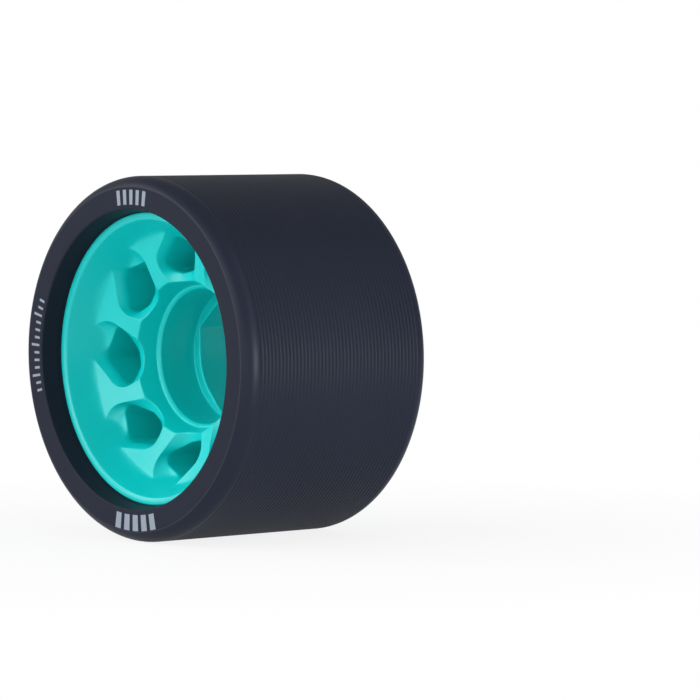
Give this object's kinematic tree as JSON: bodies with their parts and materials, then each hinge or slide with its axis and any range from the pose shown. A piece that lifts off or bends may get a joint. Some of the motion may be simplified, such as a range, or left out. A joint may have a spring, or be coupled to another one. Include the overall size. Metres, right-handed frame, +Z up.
{
  "type": "roller skate wheel",
  "caption": "Wide roller skate wheel: a urethane tyre cast on a deeply dished, windowed nylon hub whose offset core has a bearing seat at each end.",
  "frame": {"origin": "on the axle's line, midway across the tyre's width", "axes": "+Y along the axle towards the skate, so the deep outer dish looks along -Y; +Z up"},
  "size_m": [0.059, 0.038, 0.059],
  "materials": {
    "hub_nylon": "satin moulded nylon, teal",
    "tyre_urethane": "satin cast urethane, near-black navy, finely turned tread"
  },
  "bodies": {
    "root": {"hub": "hub_nylon", "tyre": "tyre_urethane"}
  },
  "joints": []
}
